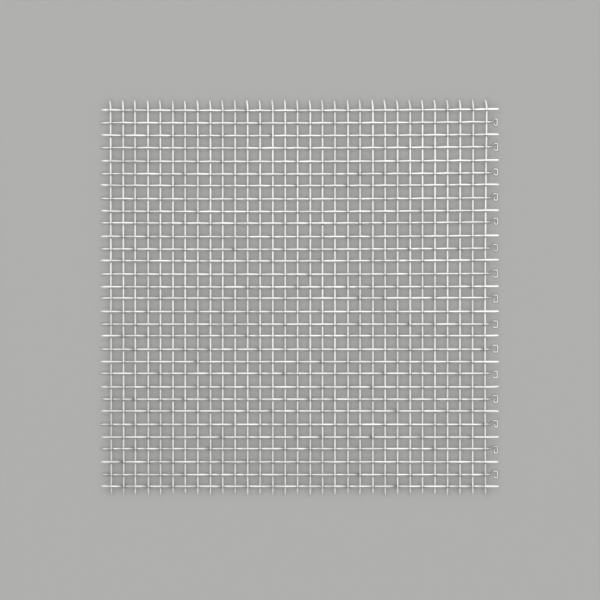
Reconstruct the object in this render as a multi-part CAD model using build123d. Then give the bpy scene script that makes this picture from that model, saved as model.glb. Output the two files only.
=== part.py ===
from build123d import *
from math import asin, cos
import os

# A square of plain-woven wire gauze, lying flat.
# Lengths are in millimetres. Weft wires run along X, warp wires along Y, and Z is up.
# The origin is in the middle of the underside.

# Cloth
warp_count = 31
weft_count = 31
warp_pitch = 3.17
weft_pitch = 3.18
wire_diameter = 0.5
crossing_gap = 0.01         # air between two wires where they cross
warp_flats = 20             # flats round a warp wire's section
square_share = 0.92         # side of a weft wire's square section, for each unit of diameter

# Every third weft wire lies a little higher than an even spacing would put it, and so do the first few
shifted_row_every = 3
shifted_first_rows = 4
row_shift = 0.23

# Free ends, measured from the axis of the last wire that they cross
warp_top_end = 2.75
warp_bottom_end = 2.35
weft_left_end = 2.65
weft_right_end = 3.55

# A weft wire that passes under the last warp wire has its right end turned back in a hook
hook_lead = 1.55            # straight run before the hook
hook_slant = 0.35           # length along the row of the slant up to the hook's first leg
hook_rise = 0.82            # from the row's line to the hook's two legs
hook_reach = 3.2            # from the last warp wire to the axis of the hook's outer side
hook_corner = 0.3           # how much each outer corner is cut across
hook_return = 1.1           # length of the leg that points back at the cloth
hook_upturn = 0.5           # length of the tip, which turns up again inside the hook

# Two outermost warp wires on each side go together in one node
edge_wires = 2

# Crimp: a weft wire zigzags over and under straight warp wires.
# A slope clears the round warp wire by the gap, so its angle follows from the pitch.
weft_side = square_share * wire_diameter
axis_distance = wire_diameter / 2 + crossing_gap + weft_side / 2
slope = asin(2 * axis_distance / warp_pitch)
crown = axis_distance / cos(slope)
half_thickness = crown + weft_side / 2 / cos(slope)
end_level = half_thickness - weft_side / 2      # free ends lie flush with the crowns

# Extents, with the box of the whole piece centred on the origin
cloth_width = (warp_count - 1) * warp_pitch
right_reach = max(weft_right_end, hook_reach + weft_side / 2)
first_column = (weft_left_end - cloth_width - right_reach) / 2


def column_place(column):
    return first_column + column * warp_pitch


def row_step(row):
    is_shifted = row % shifted_row_every == 0 or row < shifted_first_rows
    return (row_shift if is_shifted else 0) - row * weft_pitch


top_edge = row_step(0) + warp_top_end
bottom_edge = row_step(weft_count - 1) - warp_bottom_end
cloth_middle = (top_edge + bottom_edge) / 2


def row_place(row):
    return row_step(row) - cloth_middle


def weft_is_over(row, column):
    return (row + column) % 2 == 0


# Weft wires

def crossing_point(row, column):
    at_end = column in (0, warp_count - 1)
    level = end_level if at_end else crown
    return (column_place(column), 0, level if weft_is_over(row, column) else -level)


def right_end_points(row):
    x, y, z = crossing_point(row, warp_count - 1)
    if weft_is_over(row, warp_count - 1):
        return [(x + weft_right_end, y, z)]
    outer = x + hook_reach
    return [
        (x + hook_lead, 0, z),
        (x + hook_lead + hook_slant, hook_rise, z),
        (outer - hook_corner, hook_rise, z),
        (outer, hook_rise - hook_corner, z),
        (outer, hook_corner - hook_rise, z),
        (outer - hook_corner, -hook_rise, z),
        (outer - hook_return, -hook_rise, z),
        (outer - hook_return, hook_upturn - hook_rise, z),
    ]


def weft_wire(row):
    x, y, z = crossing_point(row, 0)
    start = (x - weft_left_end, y, z)
    crossings = [crossing_point(row, column) for column in range(warp_count)]
    path = Polyline(start, *crossings, *right_end_points(row))
    section = Plane(origin=start, x_dir=(0, 1, 0), z_dir=(1, 0, 0)) * Rectangle(weft_side, weft_side)
    return sweep(section, path=path, transition=Transition.RIGHT)


# Warp wires

def warp_wire():
    section = Plane(origin=(0, row_place(0) + warp_top_end, 0), z_dir=(0, -1, 0)) \
        * RegularPolygon(wire_diameter / 2, warp_flats)
    return extrude(section, top_edge - bottom_edge)


# Assembly

def raised(shape, x=0, y=0):
    return Pos(x, y, half_thickness) * shape


os.makedirs("parts", exist_ok=True)

weft_forms = [weft_wire(0), weft_wire(1)]
for row in range(weft_count):
    wire = raised(weft_forms[row % 2], y=row_place(row))
    export_step(wire, f"parts/weft_wire_{row + 1:02d}.step")

warp_form = warp_wire()
warp_wires = [raised(warp_form, x=column_place(column)) for column in range(warp_count)]
export_step(Compound(children=warp_wires[:edge_wires]), "parts/left_edge_wires.step")
export_step(Compound(children=warp_wires[-edge_wires:]), "parts/right_edge_wires.step")
for column in range(edge_wires, warp_count - edge_wires):
    export_step(warp_wires[column], f"parts/warp_wire_{column + 1:02d}.step")
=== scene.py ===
# %% [markdown]
# # A square of woven wire gauze
# The real thing is sixty-two lengths of drawn steel wire. Thirty-one of them, the warp, lie straight.
# The other thirty-one, the weft, were pushed over and under the warp in a loom, so each is crimped.
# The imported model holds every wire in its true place, as a plain bar. This script gives each bar its
# round section, its smooth crimp, its cut ends and its metal, and lets it stray by a fraction of a
# millimetre, as the wires of a real cloth do.

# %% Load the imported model
import math
import random

import bpy
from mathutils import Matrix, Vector


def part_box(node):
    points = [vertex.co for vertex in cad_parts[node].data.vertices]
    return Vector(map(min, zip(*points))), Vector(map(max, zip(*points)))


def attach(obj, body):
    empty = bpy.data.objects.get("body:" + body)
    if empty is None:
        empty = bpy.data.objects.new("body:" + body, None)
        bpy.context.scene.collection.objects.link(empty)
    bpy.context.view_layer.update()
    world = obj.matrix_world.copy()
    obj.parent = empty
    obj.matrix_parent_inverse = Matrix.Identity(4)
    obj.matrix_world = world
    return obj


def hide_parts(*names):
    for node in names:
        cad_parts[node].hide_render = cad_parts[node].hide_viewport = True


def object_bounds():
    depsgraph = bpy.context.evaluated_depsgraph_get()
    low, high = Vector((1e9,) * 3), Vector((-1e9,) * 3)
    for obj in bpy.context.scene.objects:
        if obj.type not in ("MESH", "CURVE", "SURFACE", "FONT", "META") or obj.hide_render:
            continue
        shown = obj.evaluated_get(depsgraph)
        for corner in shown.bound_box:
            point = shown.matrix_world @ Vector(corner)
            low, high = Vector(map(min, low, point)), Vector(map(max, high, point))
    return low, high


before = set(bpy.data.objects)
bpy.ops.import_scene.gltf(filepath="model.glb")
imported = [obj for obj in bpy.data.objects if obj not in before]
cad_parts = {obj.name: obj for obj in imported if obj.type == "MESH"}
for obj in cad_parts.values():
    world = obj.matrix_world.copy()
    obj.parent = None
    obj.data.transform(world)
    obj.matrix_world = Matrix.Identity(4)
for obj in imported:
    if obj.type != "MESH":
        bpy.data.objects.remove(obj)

MM = 0.001
cad_low, cad_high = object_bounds()
middle_height = (cad_low.z + cad_high.z) / 2
print(f"packed model: {len(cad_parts)} nodes, {(cad_high.x - cad_low.x) / MM:.2f} mm wide")

# %% [markdown]
# ## The camera
# The photograph looks straight down at the cloth, and its edges show no convergence. A long lens from
# well above gives that flat look and still leaves a true perspective camera. Its height follows from
# the scale: one pixel of the square picture is a little over a quarter of a millimetre of cloth.

# %% Camera
PICTURE = 600                     # pixels on each side of the photograph
PIXEL = 0.2537 * MM               # cloth covered by one pixel
CLOTH_MIDDLE_PIXEL = (299.5, 297.3)      # from the left and from the top of the picture
LENS = 200                        # focal length, in millimetres
SENSOR = 36                       # width of the sensor, in millimetres
NEAREST = 10 * MM                 # what is closer to the lens than this isn't drawn

camera_data = bpy.data.cameras.new("camera")
camera_data.lens = LENS
camera_data.sensor_width = SENSOR
camera_data.clip_start = NEAREST
camera = bpy.data.objects.new("camera", camera_data)
bpy.context.scene.collection.objects.link(camera)
bpy.context.scene.camera = camera

camera_height = PICTURE * PIXEL * LENS / SENSOR
camera.location = (
    (PICTURE / 2 - CLOTH_MIDDLE_PIXEL[0]) * PIXEL,
    (CLOTH_MIDDLE_PIXEL[1] - PICTURE / 2) * PIXEL,
    middle_height + camera_height,
)
print(f"camera {camera_height:.3f} m above the cloth")

# %% [markdown]
# ## The floor and the room
# Bright metal shows whatever is around it, so the room matters more here than on a painted part. The
# metal mirrors the same pale backdrop that a low camera sees, which makes the upper part of each round
# wire a crisp bright line, and leaves its two flanks to mirror the darker floor. The backdrop could be
# a wall, but a colour of the world needs no mesh and surrounds the gauze evenly. The Light Path node
# makes it brighter for the camera and for reflections than for the light that falls on the floor. Three
# small helpers add nodes and fill their sockets, and the later materials use them as well.

# %% Node helpers
def fill_sockets(tree, node, inputs):
    """Sets sockets of a node to a value, or joins them to another node's socket."""
    for name, value in inputs.items():
        socket = node.inputs[name]
        if isinstance(value, bpy.types.NodeSocket):
            tree.links.new(value, socket)
        else:
            socket.default_value = value


def add_node(tree, kind, settings=None, inputs=None):
    """A new node with its settings, and with its sockets filled."""
    node = tree.nodes.new(kind)
    for name, value in (settings or {}).items():
        setattr(node, name, value)
    fill_sockets(tree, node, inputs or {})
    return node


def maths(tree, operation, *values, clamped=False):
    """The result of a calculation with two or three values, each a number or another node's socket."""
    node = add_node(tree, "ShaderNodeMath", {"operation": operation, "use_clamp": clamped},
                    dict(enumerate(values)))
    return node.outputs["Value"]


print("node helpers ready")

# %% Floor and room
FLOOR_SIZE = 4                    # metres
FLOOR_COLOUR = (0.44, 0.44, 0.43, 1)
FLOOR_ROUGHNESS = 0.9
AROUND_COLOUR = (0.80, 0.80, 0.80, 1)
AROUND_STRENGTH = 0.55            # for the light that falls on the floor
BACKDROP_STRENGTH = 1             # for what the camera and the metal see

pale_floor = bpy.data.materials.new("pale_floor")
pale_floor.use_nodes = True
floor_tree = pale_floor.node_tree
fill_sockets(floor_tree, floor_tree.nodes["Principled BSDF"], {
    "Base Color": FLOOR_COLOUR, "Roughness": FLOOR_ROUGHNESS})

bpy.ops.mesh.primitive_plane_add(size=FLOOR_SIZE, location=(0, 0, cad_low.z))
floor = bpy.context.object
floor.name = "floor"
floor.data.materials.append(pale_floor)

world = bpy.data.worlds.new("pale_room")
world.use_nodes = True
bpy.context.scene.world = world
room = world.node_tree
around = room.nodes["Background"]
fill_sockets(room, around, {"Color": AROUND_COLOUR, "Strength": AROUND_STRENGTH})
backdrop = add_node(room, "ShaderNodeBackground", inputs={
    "Color": AROUND_COLOUR, "Strength": BACKDROP_STRENGTH})
ray = add_node(room, "ShaderNodeLightPath").outputs
is_seen = maths(room, "MAXIMUM", ray["Is Camera Ray"], ray["Is Glossy Ray"])
either = add_node(room, "ShaderNodeMixShader", inputs={
    "Fac": is_seen, 1: around.outputs["Background"], 2: backdrop.outputs["Background"]})
fill_sockets(room, room.nodes["World Output"], {"Surface": either.outputs["Shader"]})
print(f"floor {FLOOR_SIZE} m wide, in a pale room")

# %% [markdown]
# ## The lamps
# Four large soft panels stand in a ring around the gauze. The two beyond its top and bottom edges are
# the stronger ones. A round wire mirrors only what lies across it, so those two light the weft, which is
# the brighter set in the photograph. The Standard view transform shows each colour about as it is
# written, with no film look laid over it.

# %% Lamps
PANEL_SIZE = (1.3, 0.7)           # metres
PANEL_AWAY = 0.74                 # from the middle of the gauze, along the floor
PANEL_HEIGHT = 0.67
PANELS = {                        # the side of the gauze that each is on, and its power in watts
    "top_panel": ((0, 1), 3.2),
    "bottom_panel": ((0, -1), 2.7),
    "left_panel": ((-1, 0), 2.1),
    "right_panel": ((1, 0), 2.1),
}


def soft_lamp(name, side, power):
    data = bpy.data.lights.new(name, "AREA")
    data.shape = "RECTANGLE"
    data.size, data.size_y = PANEL_SIZE
    data.energy = power
    lamp = bpy.data.objects.new(name, data)
    bpy.context.scene.collection.objects.link(lamp)
    lamp.location = (side[0] * PANEL_AWAY, side[1] * PANEL_AWAY, PANEL_HEIGHT)
    lamp.rotation_euler = (-lamp.location).to_track_quat("-Z", "Y").to_euler()


for panel, (side, power) in PANELS.items():
    soft_lamp(panel, side, power)
bpy.context.scene.view_settings.view_transform = "Standard"
print(f"{len(PANELS)} soft panels, {PANEL_SIZE[0]} by {PANEL_SIZE[1]} m each")

# %% [markdown]
# ## Where the wires lie
# Nothing is guessed here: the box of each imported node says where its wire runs. The two outermost warp
# wires on each side share a node, so their places come from the two sides of that node's box.

# %% Rows and columns
WIRE = 0.5 * MM                   # diameter of the real round wire
radius = WIRE / 2


def box_middle(node):
    low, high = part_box(node)
    return (low + high) / 2


def edge_columns(node):
    """Places of the two warp wires that share a node."""
    low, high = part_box(node)
    return [low.x + radius, high.x - radius]


weft_nodes = sorted(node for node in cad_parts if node.startswith("weft_wire"))
inner_warp_nodes = sorted(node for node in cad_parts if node.startswith("warp_wire"))
warp_nodes = ["left_edge_wires"] * 2 + inner_warp_nodes + ["right_edge_wires"] * 2

row_y = [box_middle(node).y for node in weft_nodes]
column_x = edge_columns("left_edge_wires")
column_x += [box_middle(node).x for node in inner_warp_nodes]
column_x += edge_columns("right_edge_wires")

last_row = len(row_y) - 1
last_column = len(column_x) - 1
pitch = (column_x[-1] - column_x[0]) / last_column
print(f"{len(row_y)} weft and {len(column_x)} warp wires, {pitch / MM:.2f} mm apart")

# %% [markdown]
# ## What the loom and handling left uneven
# A real cloth is never a perfect grid. In the photograph the upper weft wires bow, with their right
# ends higher, the last warp wires on the right curve, and the first ones on the left lean. Those drifts
# could be typed in wire by wire, but a few smooth formulas give them with less to get wrong. A seeded
# random draw then gives each wire a little of its own.

# %% Places on the cloth
half_width = (column_x[-1] - column_x[0]) / 2
half_depth = (row_y[0] - row_y[-1]) / 2
cloth_x = (column_x[0] + column_x[-1]) / 2
cloth_y = (row_y[0] + row_y[-1]) / 2


def across(x):
    """-1 at the left edge of the cloth, and 1 at the right edge."""
    return (x - cloth_x) / half_width


def up(y):
    """-1 at the bottom edge of the cloth, and 1 at the top edge."""
    return (y - cloth_y) / half_depth


def limited(value, least, most):
    return min(max(value, least), most)


def smooth_step(value, start, end):
    """0 up to start, 1 from end on, and a smooth rise in between. The end may also be below the start."""
    share = limited((value - start) / (end - start), 0, 1)
    return share * share * (3 - 2 * share)


def between(pair, share):
    return pair[0] * (1 - share) + pair[1] * share


print(f"cloth {2 * half_width / MM:.1f} by {2 * half_depth / MM:.1f} mm between its outermost wires")

# %% Drift of the wires
BOW_MIDDLE = -0.07 * MM           # how far the middle of an upper weft wire sags
BOW_TILT = 0.10 * MM
BOW_CURVE = 0.20 * MM
BOW_ROWS = (-0.25, 0.35)          # places of the rows between which the bow grows, as up() gives them
RIGHT_SHIFT = -0.07 * MM          # of the last warp wire on the right, in its middle
RIGHT_TILT = 0.16 * MM
RIGHT_CURVE = 0.25 * MM
RIGHT_DECAY = 0.5                 # share passed on to each next wire inwards
LEFT_SHIFT = 0.16 * MM            # the first warp wires on the left stand in a little, most at the bottom
LEFT_TILT = -0.10 * MM
LEFT_DECAY = 0.72
ROW_SPREAD = 0.025 * MM
COLUMN_SPREAD = 0.035 * MM
SEED = 31

draw = random.Random(SEED)
row_offset = [draw.gauss(0, ROW_SPREAD) for _ in row_y]
column_offset = [draw.gauss(0, COLUMN_SPREAD) for _ in column_x]


def weft_y(row, x):
    bow = BOW_MIDDLE + BOW_TILT * across(x) + BOW_CURVE * across(x) ** 2
    return row_y[row] + row_offset[row] + bow * smooth_step(up(row_y[row]), *BOW_ROWS)


def warp_x(column, y):
    height = limited(up(y), -1, 1)
    from_right = last_column - column
    right = (RIGHT_SHIFT + RIGHT_TILT * height + RIGHT_CURVE * height ** 2) * RIGHT_DECAY ** from_right
    left = (LEFT_SHIFT + LEFT_TILT * height) * LEFT_DECAY ** column
    return column_x[column] + column_offset[column] + right + left


most_drift = max(abs(warp_x(last_column, y) - column_x[-1]) for y in row_y)
print(f"the last warp wire strays by up to {most_drift / MM:.2f} mm")

# %% [markdown]
# ## Painted shade towards the left and the bottom
# The metal is made darker towards the left and the bottom, most of all on the warp. This is painted
# shade: a fall-off of light is put into the steel's colour. Lamps could be moved to give that fall-off
# instead, but lamps stay behind when the part is used elsewhere, so it is painted into the steel.

# %% Painted shade towards the left and the bottom
FALLOFF_SHADE_CURVE = 1.6               # above 1, so that it grows fastest near the edges


def leftness(x):
    """0 at the right edge of the cloth, and 1 at the left edge."""
    return limited((1 - across(x)) / 2, 0, 1)


def lowness(y):
    """0 at the top edge of the cloth, and 1 at the bottom edge."""
    return limited((1 - up(y)) / 2, 0, 1)


def falloff_shade(point, most_left, most_down):
    """How much painted shade darkens the metal at a point. The most that it gains towards each edge is
    given.
    """
    return most_left * leftness(point.x) ** FALLOFF_SHADE_CURVE + most_down * lowness(point.y) ** FALLOFF_SHADE_CURVE


print("tarnish grows to the left and downwards")

# %% [markdown]
# ## A round wire as a mesh
# A curve with a round bevel would do for the shape, but a mesh made here can also flatten where the
# cutters bit, and can carry a mark at each point for the material to read. The section is carried
# along the centre line so that it never twists: each ring keeps the previous ring's side direction,
# made square to the new direction of the wire.

# %% Tube helper
SIDES = 16


def directions(points):
    """Direction of the wire at each point, from the point before it to the one after it."""
    found = []
    for index in range(len(points)):
        before = points[max(index - 1, 0)]
        after = points[min(index + 1, len(points) - 1)]
        found.append((after - before).normalized())
    return found


def tube(name, points, side, widths, heights, marks):
    """A closed tube. Each ring has its own half width, which is measured along side, its own half height,
    and its own value of each mark."""
    vertices, faces = [], []
    for point, along, width, height in zip(points, directions(points), widths, heights):
        side = (side - along * side.dot(along)).normalized()
        upward = along.cross(side)
        for corner in range(SIDES):
            angle = 2 * math.pi * corner / SIDES
            vertices.append(point + side * (width * math.cos(angle)) + upward * (height * math.sin(angle)))
    for ring in range(len(points) - 1):
        low, high = ring * SIDES, (ring + 1) * SIDES
        for corner in range(SIDES):
            following = (corner + 1) % SIDES
            faces.append((low + corner, high + corner, high + following, low + following))
    last_ring = (len(points) - 1) * SIDES
    faces.append(tuple(range(SIDES)))
    faces.append(tuple(reversed(range(last_ring, last_ring + SIDES))))

    mesh = bpy.data.meshes.new(name)
    mesh.from_pydata(vertices, [], faces)
    mesh.shade_smooth()
    for mark, values in marks.items():
        layer = mesh.attributes.new(mark, "FLOAT", "POINT")
        layer.data.foreach_set("value", [value for value in values for _ in range(SIDES)])
    piece = bpy.data.objects.new(name, mesh)
    bpy.context.scene.collection.objects.link(piece)
    return piece


print(f"tube helper ready, {SIDES} sides")

# %% [markdown]
# ## The crimp
# Between two crossings a weft wire goes from a crown above one warp wire to a trough below the next. It
# bends round each warp wire in an arc and runs straight in between. A sine wave would be simpler, but
# it fits the round wire only at the very top. The slope of the straight part follows from the pitch, the
# height of the crown and the radius of the bend, in closed form, so a crossing that drifted still gets a
# crimp that fits it.

# %% Crimp
CLEAR = 0.005 * MM                # between a weft wire and the warp wire it rides on
BEND = 1.0 * MM                   # radius of a crown, on the wire's centre line
crown = WIRE + CLEAR              # height of the centre line above the middle of the cloth


def crimp_slope(half_pitch):
    """Angle of the straight part between two crossings."""
    reach = math.hypot(half_pitch, crown - BEND)
    return math.asin(BEND / reach) - math.atan2(BEND - crown, half_pitch)


def crimp_height(distance, half_pitch):
    """Height above the middle plane, at a distance from the crown of up to half a pitch."""
    slope = crimp_slope(half_pitch)
    if distance < BEND * math.sin(slope):
        return crown - BEND + math.sqrt(BEND ** 2 - distance ** 2)
    return (half_pitch - distance) * math.tan(slope)


print(f"crimp slope {math.degrees(crimp_slope(pitch / 2)):.1f} degrees")

# %% [markdown]
# ## A weft wire's centre line
# Each crossing is found first, where the drifted warp wire meets the drifted weft wire. Rings are then
# placed close together round each bend and far apart on the straights, which is where a mesh needs them
# and where it doesn't.

# %% Weft centre line
ARC_STEPS = 4
STRAIGHT_STEPS = 3
WIGGLE = 0.01 * MM                # sideways shift of a crown, from the loom's beat


def is_over(row, column):
    """Whether the weft wire passes over the warp wire."""
    return (row + column) % 2 == 0


def level(row, column):
    """1 where the weft wire passes over the warp wire, and -1 where it passes under."""
    return 1 if is_over(row, column) else -1


def crossing_places(row):
    return [warp_x(column, weft_y(row, x)) for column, x in enumerate(column_x)]


def spaced(start, end, count):
    """Values from start up to, but without, end."""
    return [start + (end - start) * step / count for step in range(count)]


def bay_distances(half_pitch):
    """Distances from a crown at which a ring is placed, up to the middle between two crossings."""
    arc_end = BEND * math.sin(crimp_slope(half_pitch))
    return spaced(0, arc_end, ARC_STEPS) + spaced(arc_end, half_pitch, STRAIGHT_STEPS)


def weft_point(row, x, height):
    return Vector((x, weft_y(row, x) + WIGGLE * (height / crown), middle_height + height))


def cloth_points(row, places):
    """Centre line from the first crossing to the last. Each point also gets the column of its nearest
    crossing, and its distance from there, below zero on the left."""
    points, distances, columns = [], [], []
    for column in range(last_column):
        half_pitch = (places[column + 1] - places[column]) / 2
        leaving = bay_distances(half_pitch)
        arriving = [-distance for distance in [half_pitch] + leaving[:0:-1]]
        for nearest, nearest_distances in ((column, leaving), (column + 1, arriving)):
            for distance in nearest_distances:
                height = level(row, nearest) * crimp_height(abs(distance), half_pitch)
                points.append(weft_point(row, places[nearest] + distance, height))
                distances.append(distance)
                columns.append(nearest)
    points.append(weft_point(row, places[-1], level(row, last_column) * crown))
    return points, distances + [0], columns + [last_column]


print(f"{len(cloth_points(0, crossing_places(0))[0])} rings along one crimped wire")

# %% [markdown]
# ## Free ends
# The cloth was cut from a wider roll, so every wire ends in a cutter's pinch: the jaws squeeze the
# section from two sides before it parts. Past the last crossing a weft wire settles a little towards
# the middle of the cloth. The ends in the photograph differ a little in length and lean a little. Those
# along the left and the bottom taper to a thin tip, and the others are cut off square. Each end gets its
# own seeded draw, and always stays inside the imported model's box.

# %% Free ends
END_STEPS = 8
LEFT_SHORTER = (0.17 * MM, 0.45 * MM)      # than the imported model's ends: the usual amount, and the most
RIGHT_SHORTER = (0.07 * MM, 0.20 * MM)
TOP_SHORTER = (0.07 * MM, 0.35 * MM)
BOTTOM_SHORTER = (0.20 * MM, 0.50 * MM)
TOP_CUTS = (0.26 * MM, 0)                  # more cut off along the top, at the left edge and at the right
TOP_LEANS = (-0.16 * MM, -0.30 * MM)       # of the tips along the top, at the left edge and at the right
SETTLE = 0.08 * MM                # how far a free end sinks back towards the middle of the cloth
TIP_SWAY = 0.06 * MM
BOX_MARGIN = 0.02 * MM
SHORT_PINCH = 0.25 * MM           # a blade that cuts clean
LONG_PINCH = 0.9 * MM             # a blade that squeezes first


def shortened(usual, most):
    return min(abs(draw.gauss(0, usual)), most)


def pinched(distance, share, length):
    """Half width of the wire at a distance from its cut end, where a share of the width is left."""
    return radius * (share + (1 - share) * smooth_step(distance, 0, length))


def pinched_widths(travelled, first_share, last_share):
    """Half width of each ring of a wire, whose first end was squeezed and whose last end was cut clean."""
    return [min(pinched(s, first_share, LONG_PINCH), pinched(travelled[-1] - s, last_share, SHORT_PINCH))
            for s in travelled]


def cap_reach(lean, length):
    """How far the rim of a cut end stands out beyond its middle. The tip's slope is twice its lean for each
    unit of its length, because the end bends as a parabola."""
    return radius * 2 * abs(lean) / length


def straight_end(start, tip_x, settle_sign):
    """Points of a weft wire's end from its last crossing out to its tip, leaving out the crossing. The end
    settles down where the sign is 1, and up where it is -1."""
    sway = draw.gauss(0, TIP_SWAY)
    points = []
    for step in range(1, END_STEPS + 1):
        share = step / END_STEPS
        points.append(Vector((
            start.x + (tip_x - start.x) * share,
            start.y + sway * share ** 2,
            start.z - settle_sign * SETTLE * share ** 2,
        )))
    return points


def left_end(row, crossing):
    """Points from the tip inwards."""
    tip_x = cad_low.x + BOX_MARGIN + shortened(*LEFT_SHORTER)
    return straight_end(crossing, tip_x, level(row, 0))[::-1]


def right_end(row, crossing):
    """The end of a weft wire that has no hook."""
    tip_x = cad_high.x - BOX_MARGIN - shortened(*RIGHT_SHORTER)
    return straight_end(crossing, tip_x, level(row, last_column))


print("free ends ready")

# %% [markdown]
# ## Hooks
# Every second weft wire passes under the last warp wire, and its end is turned back on itself in a
# small square hook that lies flat in the lowest plane of the cloth. The corners of its route are known
# from the imported model. Each corner is rounded with a short quadratic curve, which keeps the wire's
# bend smooth without adding points by hand. In the lower half the hooks keep an even spacing, so where a
# row was shifted its hook stayed behind. Each is a little different in the length of its legs. The wire
# was drawn thin where it was bent. The end is darkened with painted shade, as it lies low in the shade
# of the cloth: darkest on the slant that leads up to the hook, and less on the hook beyond it.

# %% Shape of the hooks
HOOK_LEAD = 1.55 * MM             # from the last crossing to the foot of the slant
HOOK_SLANT = 0.35 * MM            # length of the slant along the row
HOOK_RETURNS = (0.65 * MM, 1.00 * MM)      # shortest and longest leg that points back at the cloth
HOOK_UPTURNS = (0.1 * MM, 1.0 * MM)        # shortest and longest tip, which turns up inside the hook
HOOK_LAG = 1.25                   # how far a hook stays behind, for each unit that its row was shifted
LAG_ROWS = (0.5, 0)               # places of the rows between which the lag grows, as up() gives them
LEG_SPREAD = 0.08                 # share by which the long legs differ from one another
HOOK_SHIFT = 0.08 * MM            # how far a whole hook strays
CORNER_CUT = 0.30 * MM
CORNER_STEPS = 6

hook_low, hook_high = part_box("weft_wire_02")
bar_low, bar_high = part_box("weft_wire_01")
bar_side = bar_high.y - bar_low.y
hook_outer = hook_high.x - bar_side / 2
hook_rise = (hook_high.y - hook_low.y - bar_side) / 2


def is_hooked(row):
    return not is_over(row, last_column)


def rounded(corners):
    """A route through corners, with each inner corner replaced by a quadratic curve."""
    route = [corners[0]]
    for before, corner, after in zip(corners, corners[1:], corners[2:]):
        cut_in = min(CORNER_CUT, (corner - before).length / 2)
        cut_out = min(CORNER_CUT, (after - corner).length / 2)
        start = corner + (before - corner).normalized() * cut_in
        end = corner + (after - corner).normalized() * cut_out
        for step in range(CORNER_STEPS + 1):
            t = step / CORNER_STEPS
            route.append(start * (1 - t) ** 2 + corner * (2 * t * (1 - t)) + end * t ** 2)
    route.append(corners[-1])
    return route


def lag(row):
    """How far the hook lies below its own row. Only a row that was shifted up has a lag, and only low
    down on the cloth."""
    shifted = max(row_y[row] - (row_y[row - 1] + row_y[row + 1]) / 2, 0)
    return HOOK_LAG * shifted * smooth_step(up(row_y[row]), *LAG_ROWS)


def hook(row, crossing):
    """Points of a hooked end, leaving out the crossing where it starts."""
    shift = draw.gauss(0, HOOK_SHIFT) - lag(row)
    rise = hook_rise * (1 + draw.gauss(0, LEG_SPREAD)) + shift
    drop = hook_rise * (1 + draw.gauss(0, LEG_SPREAD)) - shift
    outer = hook_outer - abs(draw.gauss(0, HOOK_SHIFT))
    back = draw.uniform(*HOOK_RETURNS)
    upturn = draw.uniform(*HOOK_UPTURNS)
    x, y, z = crossing
    corners = [
        Vector((x, y, z)),
        Vector((x + HOOK_LEAD, y, z)),
        Vector((x + HOOK_LEAD + HOOK_SLANT, y + rise, z)),
        Vector((outer, y + rise, z)),
        Vector((outer, y - drop, z)),
        Vector((outer - back, y - drop, z)),
        Vector((outer - back, y - drop + upturn, z)),
    ]
    return rounded(corners)[1:]


print(f"hooks rise {hook_rise / MM:.2f} mm each side of their wire")

# %% Thinning and painted shade of the hooks
STUBS = (0.45 * MM, 0.85 * MM)    # bright length past the last crossing, and the same near the top edge
STUB_ROWS = (0.5, 0.7)            # places of the rows between which the length grows, as up() gives them
HOOK_SECTION = 0.68               # thickness of a hook, as a share of the whole wire's
THINS_OVER = 0.9 * MM
HOOK_SHADE_GROWS_OVER = 0.5 * MM
SLANT_END = 2.3 * MM              # from the last crossing, along the wire
HOOK_SHADES = (0.72, 0.30)      # on the slant, and beyond it


def stub_length(row):
    return between(STUBS, smooth_step(up(row_y[row]), *STUB_ROWS))


def hook_share(row, past_crossing):
    """Thickness of a hooked wire past its last crossing, as a share of the whole wire's."""
    stub = stub_length(row)
    return between((1, HOOK_SECTION), smooth_step(past_crossing, stub, stub + THINS_OVER))


# painted shade on a hooked end: darkest on the slant, less on the hook beyond it
def hook_shade(row, past_crossing):
    stub = stub_length(row)
    past_slant = smooth_step(past_crossing, SLANT_END, SLANT_END + HOOK_SHADE_GROWS_OVER)
    return smooth_step(past_crossing, stub, stub + HOOK_SHADE_GROWS_OVER) * between(HOOK_SHADES, past_slant)


print(f"bright stubs {stub_length(last_row - 1) / MM:.2f} to {stub_length(1) / MM:.2f} mm long")

# %% [markdown]
# ## Draw lines
# Steel wire is pulled through a die, which leaves fine bright scratches along its length. Apart from the
# hooks, every wire here lies along X or along Y, so a noise that is stretched along one axis gives those
# lines without any unwrapping. It is a node group, so both materials share it, each with its own
# direction.

# %% Draw line group
LINE_DETAIL = 4.0
LINE_BREAKUP = 0.6                # how strong the noise's finer octaves are
LINE_RANGE = (0.3, 0.7)           # of the noise: no line up to the first, and a full one from the second
FLOAT, VECTOR = "NodeSocketFloat", "NodeSocketVector"


def new_group(name, inputs, output, output_kind):
    """An empty shader group with its sockets, the outputs of its input node, and its output node."""
    group = bpy.data.node_groups.new(name, "ShaderNodeTree")
    for socket, kind in inputs.items():
        group.interface.new_socket(socket, in_out="INPUT", socket_type=kind)
    group.interface.new_socket(output, in_out="OUTPUT", socket_type=output_kind)
    return group, add_node(group, "NodeGroupInput").outputs, add_node(group, "NodeGroupOutput")


def stretched(tree, coordinates, repeats):
    return add_node(tree, "ShaderNodeVectorMath", {"operation": "MULTIPLY"},
                    {0: coordinates, 1: repeats}).outputs["Vector"]


def remapped(tree, value, old_range, new_range=(0, 1), kind="LINEAR"):
    """Turns the old range into the new one, and stops at its ends."""
    return add_node(tree, "ShaderNodeMapRange", {"interpolation_type": kind}, {
        "Value": value, "From Min": old_range[0], "From Max": old_range[1],
        "To Min": new_range[0], "To Max": new_range[1]}).outputs["Result"]


draw_lines, given, result = new_group(
    "draw_lines", {"Coordinates": VECTOR, "Repeats": VECTOR}, "Lines", FLOAT)
line_noise = add_node(draw_lines, "ShaderNodeTexNoise", inputs={
    "Vector": stretched(draw_lines, given["Coordinates"], given["Repeats"]),
    "Scale": 1.0, "Detail": LINE_DETAIL, "Roughness": LINE_BREAKUP})
fill_sockets(draw_lines, result, {
    "Lines": remapped(draw_lines, line_noise.outputs["Fac"], LINE_RANGE, kind="SMOOTHSTEP")})
print("draw line group ready")
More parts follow.
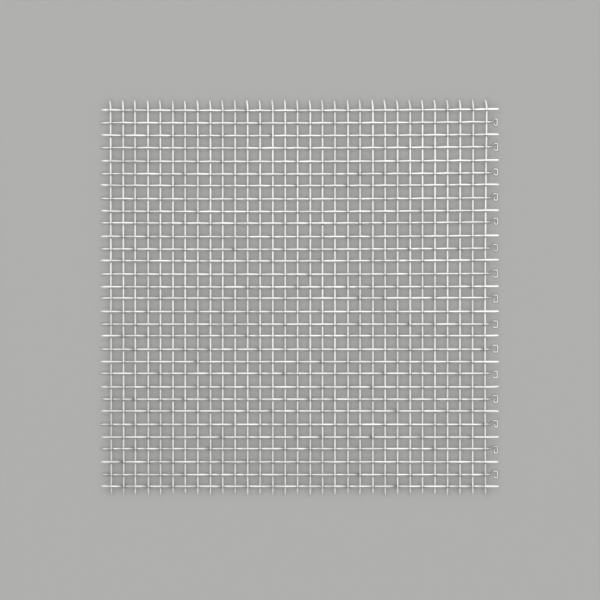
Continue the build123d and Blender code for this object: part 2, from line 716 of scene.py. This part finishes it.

# %% [markdown]
# ## Stain and painted shadow at the crossings
# Where two wires press together, heat and handling leave a dull, slightly olive stain that nobody can
# polish off. The same dark mark also holds a painted shadow, cast by the crossing wire: it is darkest a
# little off the crossing, on the weft to its left and on the warp below it. The mesh of each wire carries
# two marks: how stained and shaded it is at a point, and how far that was worn off again on a crown. The
# group turns those marks and a blotchy noise into one mask: strong in the nip, broken at its edge, and a
# little weaker on a crown's exposed top.

# %% Crossing stain and painted shadow group
WORN_FACING = (-0.2, 0.5)         # how far up a surface faces: not worn at the first, fully at the second
PATCH_DETAIL = 3.0
PATCH_RANGE = (0.25, 0.65)        # of the noise
PATCH_STRENGTHS = (0.55, 1.0)     # of the stain between patches and in them

nip_stain_and_shadow, given, result = new_group(
    "nip_stain_and_shadow", {"Coordinates": VECTOR, "Nip": FLOAT, "Crown": FLOAT, "Patch Scale": FLOAT},
    "Stain And Shadow", FLOAT)
normal = add_node(nip_stain_and_shadow, "ShaderNodeNewGeometry").outputs["Normal"]
facing = add_node(nip_stain_and_shadow, "ShaderNodeSeparateXYZ", inputs={"Vector": normal}).outputs["Z"]
worn = maths(nip_stain_and_shadow, "MULTIPLY", remapped(nip_stain_and_shadow, facing, WORN_FACING), given["Crown"])
left_over = maths(nip_stain_and_shadow, "SUBTRACT", given["Nip"], worn, clamped=True)
patch_noise = add_node(nip_stain_and_shadow, "ShaderNodeTexNoise", inputs={
    "Vector": given["Coordinates"], "Scale": given["Patch Scale"], "Detail": PATCH_DETAIL})
patches = remapped(nip_stain_and_shadow, patch_noise.outputs["Fac"], PATCH_RANGE, PATCH_STRENGTHS)
fill_sockets(nip_stain_and_shadow, result, {"Stain And Shadow": maths(nip_stain_and_shadow, "MULTIPLY", left_over, patches, clamped=True)})
print("crossing stain group ready")

# %% [markdown]
# ## The two steels
# Both sets of wires are bare drawn steel, so one function builds both materials. A metal's colour is
# the colour of its reflection: here a neutral grey with a trace of warmth. The warp gets a darker tone of
# the same steel, which is painted shade, so that it looks less lit than the weft. Four things vary over
# it. The tone changes slowly along each wire, the draw lines change its roughness, the stain and its
# painted shadow darken it at the crossings, and a third mark on the mesh says how dull the steel is at
# the tips and from one stretch to the next, with painted shade added on the hooks, on the low left ends
# and towards the left and the bottom.

# %% Colours and finishes
WEFT_TONES = ((0.82, 0.82, 0.805, 1), (0.96, 0.96, 0.945, 1))      # dullest and brightest
# the same steel as the weft, with darker tones as painted shade
SHADED_WARP_TONES = ((0.70, 0.70, 0.69, 1), (0.87, 0.87, 0.855, 1))
# the olive stain in the nips, also used as painted shadow beside each crossing
STAIN_AND_SHADOW_COLOUR = (0.09, 0.087, 0.068, 1)
# dull steel, also used as painted shade on the hooks, on the low left ends and towards the left and the
# bottom
DULL_AND_SHADED_STEEL = (0.22, 0.22, 0.208, 1)
TONE_LENGTH = 22 * MM             # along the wire
TONE_DETAIL = 2.0
TONE_RANGE = (0.35, 0.65)         # of the noise
LINE_PITCH = 0.03 * MM            # across the wire
LINE_LENGTH = 4 * MM              # along it
LINE_DEPTH = 0.0015 * MM
LINE_STRENGTH = 0.6
PATCH = 0.625 * MM                # size of a blotch in the stain
WEFT_ROUGHNESS = 0.34
WARP_ROUGHNESS = 0.42
SMOOTHER, ROUGHER = 0.06, 0.08    # how far the draw lines take that down and up
STAIN_ROUGHNESS = 0.3             # what a full stain adds to it


def colour_mix(tree, factor, first, second):
    """The first colour where the factor is 0, and the second where it is 1."""
    node = add_node(tree, "ShaderNodeMix", {"data_type": "RGBA"}, {"Factor": factor})
    colour_inputs = [index for index, socket in enumerate(node.inputs) if socket.type == "RGBA"]
    fill_sockets(tree, node, dict(zip(colour_inputs, (first, second))))
    return next(socket for socket in node.outputs if socket.type == "RGBA")


def repeats_per_metre(along, size_across, size_along):
    """How often a pattern repeats along X, Y and Z, on wires that lie along X (0) or along Y (1)."""
    repeats = [1 / size_across] * 3
    repeats[along] = 1 / size_along
    return repeats


def mesh_mark(tree, name):
    return add_node(tree, "ShaderNodeAttribute", {"attribute_name": name}).outputs["Fac"]


print(f"{TONE_LENGTH / MM:.0f} mm from one tone to the next, draw lines {LINE_PITCH / MM:.2f} mm apart")

# %% Steel materials
def steel(name, along, tones, roughness):
    """Drawn steel for wires that lie along X, when along is 0, or along Y, when it is 1."""
    material = bpy.data.materials.new(name)
    material.use_nodes = True
    tree = material.node_tree
    place = add_node(tree, "ShaderNodeTexCoord").outputs["Object"]

    lines = add_node(tree, "ShaderNodeGroup", {"node_tree": draw_lines}, {
        "Coordinates": place,
        "Repeats": repeats_per_metre(along, LINE_PITCH, LINE_LENGTH)}).outputs["Lines"]
    stain_and_shadow_mask = add_node(tree, "ShaderNodeGroup", {"node_tree": nip_stain_and_shadow}, {
        "Coordinates": place, "Nip": mesh_mark(tree, "nip"), "Crown": mesh_mark(tree, "crown"),
        "Patch Scale": 1 / PATCH}).outputs["Stain And Shadow"]
    tone = add_node(tree, "ShaderNodeTexNoise", inputs={
        "Vector": stretched(tree, place, repeats_per_metre(along, pitch, TONE_LENGTH)),
        "Scale": 1.0, "Detail": TONE_DETAIL}).outputs["Fac"]

    colour = colour_mix(tree, remapped(tree, tone, TONE_RANGE), *tones)
    # stain and painted shadow darken the colour at the crossings
    colour = colour_mix(tree, stain_and_shadow_mask, colour, STAIN_AND_SHADOW_COLOUR)
    # dull tips and stretches, and painted shade on the hooks, the low left ends and towards the left and
    # the bottom
    colour = colour_mix(tree, mesh_mark(tree, "dulling_and_shade"), colour, DULL_AND_SHADED_STEEL)
    lined = remapped(tree, lines, (0, 1), (roughness - SMOOTHER, roughness + ROUGHER))
    bump = add_node(tree, "ShaderNodeBump", inputs={
        "Height": lines, "Strength": LINE_STRENGTH, "Distance": LINE_DEPTH})
    fill_sockets(tree, tree.nodes["Principled BSDF"], {
        "Metallic": 1.0,
        "Base Color": colour,
        "Roughness": maths(tree, "MULTIPLY_ADD", stain_and_shadow_mask, STAIN_ROUGHNESS, lined),
        "Normal": bump.outputs["Normal"],
    })
    return material


weft_steel = steel("weft_steel", along=0, tones=WEFT_TONES, roughness=WEFT_ROUGHNESS)
warp_steel = steel("warp_steel", along=1, tones=SHADED_WARP_TONES, roughness=WARP_ROUGHNESS)
print("two steels ready")

# %% [markdown]
# ## The marks on the mesh
# In the photograph a few crossings have a dark gap on the weft wire just left of them, and most have
# hardly any. Dark gaps are more common towards the lower left. These gaps are made of stain and painted
# shadow together. So each crossing draws its own strength of stain and painted shadow, from a random
# value raised to a power: a high power makes a strong one rare. The mark fades on both sides of its
# darkest point, which lies a little off the crossing, where the crossing wire's shadow falls. The metal
# is also duller towards most tips.

# %% Stain, painted shadow and dulling along a wire
# the most stain and painted shadow that a crossing gets
WEFT_STAIN_AND_SHADOW = 0.95                 # the most that a crossing is stained
STAIN_AND_SHADOW_RARITIES = (2.8, 1.1)       # the power along the top and the right, and at the lower left corner


# how strongly a crossing is stained and shaded with painted shadow
def crossing_stain_and_shadow(x, y):
    return WEFT_STAIN_AND_SHADOW * draw.random() ** between(STAIN_AND_SHADOW_RARITIES, leftness(x) * lowness(y))


def nip_at(distance, darkest, reach_before, reach_after):
    """Strength of a stain and its painted shadow at a distance from its crossing, which is below zero
    before the crossing.
    """
    beyond = distance - darkest
    reach = reach_before if beyond < 0 else reach_after
    return math.exp(-(beyond / reach) ** 2)


def tip_dulling(distance, at_tip, over):
    """How dull the metal is, at a distance from its cut end."""
    return at_tip * (1 - smooth_step(distance, 0, over))


def lengths_from_start(points):
    """Length of the wire from its first point to each of its points."""
    total, found = 0, [0]
    for before, after in zip(points, points[1:]):
        total += (after - before).length
        found.append(total)
    return found


def finish_wire(piece, material, node):
    """Gives a tube its metal and its flat cut ends, and puts it in the place of its plain bar."""
    piece.data.materials.append(material)
    for cap in piece.data.polygons[-2:]:
        cap.use_smooth = False
    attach(piece, "root")
    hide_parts(node)


print("marks ready")

# %% [markdown]
# ## Weaving in the weft
# One loop makes all the weft wires. It joins the left end, the crimped middle and the right end into
# one centre line, works out the section and the marks at each ring, and hands them to the tube helper.
# In the photograph a weft wire changes its tone from one stretch to the next, so each stretch between
# two crossings has its own draw. The left ends that lie low are darkened with painted shade, as they lie
# in the shade of the last crossing.
# Each finished wire takes the place of its own plain bar.

# %% Weft wires
LEFT_PINCH = 0.4                  # share of the width that is left at a tip
RIGHT_PINCH = 0.9
HOOK_PINCH = 0.6
# the darkest point of the stain and its painted shadow lies left of each crossing, where the warp wire's
# shadow falls
WEFT_DARKEST = -0.35 * MM         # from the crossing
REACHES_LEFT = (0.45 * MM, 0.95 * MM)      # of the stain, at the top edge and at the bottom edge
REACH_RIGHT = 0.18 * MM
CROWN_WEAR = 0.25                 # share of the stain that is worn off a crown
WEFT_FALLOFF_SHADE = (0.14, 0.08)       # the most towards the left, and downwards
LEFT_TIP_DULLING = 0.14
TIP_DULLS_OVER = 1.3 * MM
LOW_END_SHADE = 0.13            # of a left end that lies low
BAY_DULLING = 0.30                # the most that a stretch between two crossings is dulled


def weft_stains_and_shadows(row, places, columns, distances):
    """How much stain and painted shadow each ring has, and how much of it a crown can lose again."""
    stain_and_shadow_strengths = [crossing_stain_and_shadow(x, row_y[row]) for x in places]
    reach_left = between(REACHES_LEFT, row / last_row)
    # stain with a painted shadow of the warp wire, darkest just left of each crossing
    nips = [stain_and_shadow_strengths[column] * nip_at(distance, WEFT_DARKEST, reach_left, REACH_RIGHT)
            for column, distance in zip(columns, distances)]
    crowns = [CROWN_WEAR * nip if is_over(row, column) else 0 for column, nip in zip(columns, nips)]
    return nips, crowns


def bay_dullings(columns, distances):
    """How dull the stretch is that each ring lies in. A stretch is known by the column on its left."""
    drawn = [draw.uniform(0, BAY_DULLING) for _ in column_x]
    return [drawn[column if distance >= 0 else column - 1] for column, distance in zip(columns, distances)]


def weft_wire(row):
    places = crossing_places(row)
    cloth, from_crossing, nearest = cloth_points(row, places)
    left = left_end(row, cloth[0])
    right = hook(row, cloth[-1]) if is_hooked(row) else right_end(row, cloth[-1])
    route = left + cloth + right
    travelled = lengths_from_start(route)

    before_first = [-(point - cloth[0]).length for point in left]
    past_last = lengths_from_start(cloth[-1:] + right)[1:]
    columns = [0] * len(left) + nearest + [last_column] * len(right)
    nips, crowns = weft_stains_and_shadows(row, places, columns, before_first + from_crossing + past_last)

    # a left end that lies low is darkened with painted shade
    low_end_shade = 0 if is_over(row, 0) else LOW_END_SHADE
    extra = [low_end_shade] * len(left) + bay_dullings(nearest, from_crossing) + [0] * len(right)
    # painted shade towards the left and the bottom is added here to the duller tips
    dulling_and_shade = [falloff_shade(point, *WEFT_FALLOFF_SHADE) + tip_dulling(s, LEFT_TIP_DULLING, TIP_DULLS_OVER) + more
              for point, s, more in zip(route, travelled, extra)]
    widths = pinched_widths(travelled, LEFT_PINCH, HOOK_PINCH if is_hooked(row) else RIGHT_PINCH)
    heights = [radius] * len(route)
    if is_hooked(row):
        for index, past in enumerate(past_last, start=len(left + cloth)):
            widths[index] *= hook_share(row, past)
            heights[index] *= hook_share(row, past)
            # the hooked end is darkened with painted shade
            dulling_and_shade[index] = max(dulling_and_shade[index], hook_shade(row, past))

    piece = tube(weft_nodes[row] + "_round", route, Vector((0, 1, 0)), widths, heights,
                 {"nip": nips, "crown": crowns, "dulling_and_shade": dulling_and_shade})
    finish_wire(piece, weft_steel, weft_nodes[row])
    return piece


weft_pieces = [weft_wire(row) for row in range(len(row_y))]
print(f"{len(weft_pieces)} weft wires, {len(weft_pieces[0].data.polygons)} faces each")

# %% [markdown]
# ## Setting the warp
# The warp wires stay straight, because the weft took all the crimp. They still get their slow drift,
# their leaning tips and their pinched ends. Their crossing mark is a small dark gap just below each
# crossing, partly stain and partly painted shadow of the weft wire above, as in the photograph, where it
# shows at nearly all of them.

# %% Warp wires
WARP_RINGS = (0, 0.18 * MM, 0.32 * MM, 0.46 * MM, 0.62 * MM, 0.85 * MM)      # distances from a crossing
BOTTOM_PINCH = 0.55
TOP_PINCH = 0.9
# the darkest point of the stain and its painted shadow lies below each crossing, where the weft wire's
# shadow falls
WARP_DARKEST = -0.38 * MM         # from the crossing
REACH_BELOW = 0.20 * MM
REACH_ABOVE = 0.16 * MM
WARP_STAINS_AND_SHADOWS = (0.7, 1.0)          # least and most, drawn for each crossing
WARP_FALLOFF_SHADE = (0.06, 0.26)
TOP_TIP_DULLING = 0.20
BOTTOM_TIP_DULLING = 0.10
BOTTOM_DULLS_OVER = 2.2 * MM


def warp_stations(rows_down, bottom, top):
    """Places along Y of a warp wire's rings, from its bottom tip to its top tip."""
    stations = spaced(bottom, rows_down[-1], END_STEPS)
    rows_up = rows_down[::-1]
    for low, high in zip(rows_up, rows_up[1:]):
        stations += [low + ring for ring in WARP_RINGS] + [(low + high) / 2]
        stations += [high - ring for ring in WARP_RINGS[:0:-1]]
    return stations + spaced(rows_down[0], top, END_STEPS) + [top]


def warp_wire(column):
    rows_down = [weft_y(row, column_x[column]) for row in range(len(row_y))]
    share = column / last_column
    lean = between(TOP_LEANS, share) + draw.gauss(0, TIP_SWAY)
    kick = draw.gauss(0, TIP_SWAY)
    margin = BOX_MARGIN + cap_reach(lean, cad_high.y - rows_down[0]) + between(TOP_CUTS, share)
    top = cad_high.y - margin - shortened(*TOP_SHORTER)
    bottom = cad_low.y + BOX_MARGIN + shortened(*BOTTOM_SHORTER)
    stain_and_shadow_strengths = [draw.uniform(*WARP_STAINS_AND_SHADOWS) for _ in rows_down]

    route, nips = [], []
    for y in warp_stations(rows_down, bottom, top):
        up_share = max((y - rows_down[0]) / (top - rows_down[0]), 0)
        down_share = max((rows_down[-1] - y) / (rows_down[-1] - bottom), 0)
        x = warp_x(column, y) + lean * up_share ** 2 + kick * down_share ** 2
        route.append(Vector((x, y, middle_height)))
        nearest = min(range(len(rows_down)), key=lambda row: abs(rows_down[row] - y))
        past = y - rows_down[nearest]
        # stain with a painted shadow of the weft wire, darkest just below each crossing
        nips.append(stain_and_shadow_strengths[nearest] * nip_at(past, WARP_DARKEST, REACH_BELOW, REACH_ABOVE))

    travelled = lengths_from_start(route)
    # painted shade towards the left and the bottom is added here to the duller tips
    dulling_and_shade = [falloff_shade(point, *WARP_FALLOFF_SHADE) + tip_dulling(s, BOTTOM_TIP_DULLING, BOTTOM_DULLS_OVER)
              + tip_dulling(travelled[-1] - s, TOP_TIP_DULLING, TIP_DULLS_OVER)
              for point, s in zip(route, travelled)]
    piece = tube(f"warp_wire_{column + 1:02d}_round", route, Vector((1, 0, 0)),
                 pinched_widths(travelled, BOTTOM_PINCH, TOP_PINCH), [radius] * len(route),
                 {"nip": nips, "dulling_and_shade": dulling_and_shade})
    finish_wire(piece, warp_steel, warp_nodes[column])
    return piece


warp_pieces = [warp_wire(column) for column in range(len(column_x))]
print(f"{len(warp_pieces)} warp wires, {len(warp_pieces[0].data.polygons)} faces each")
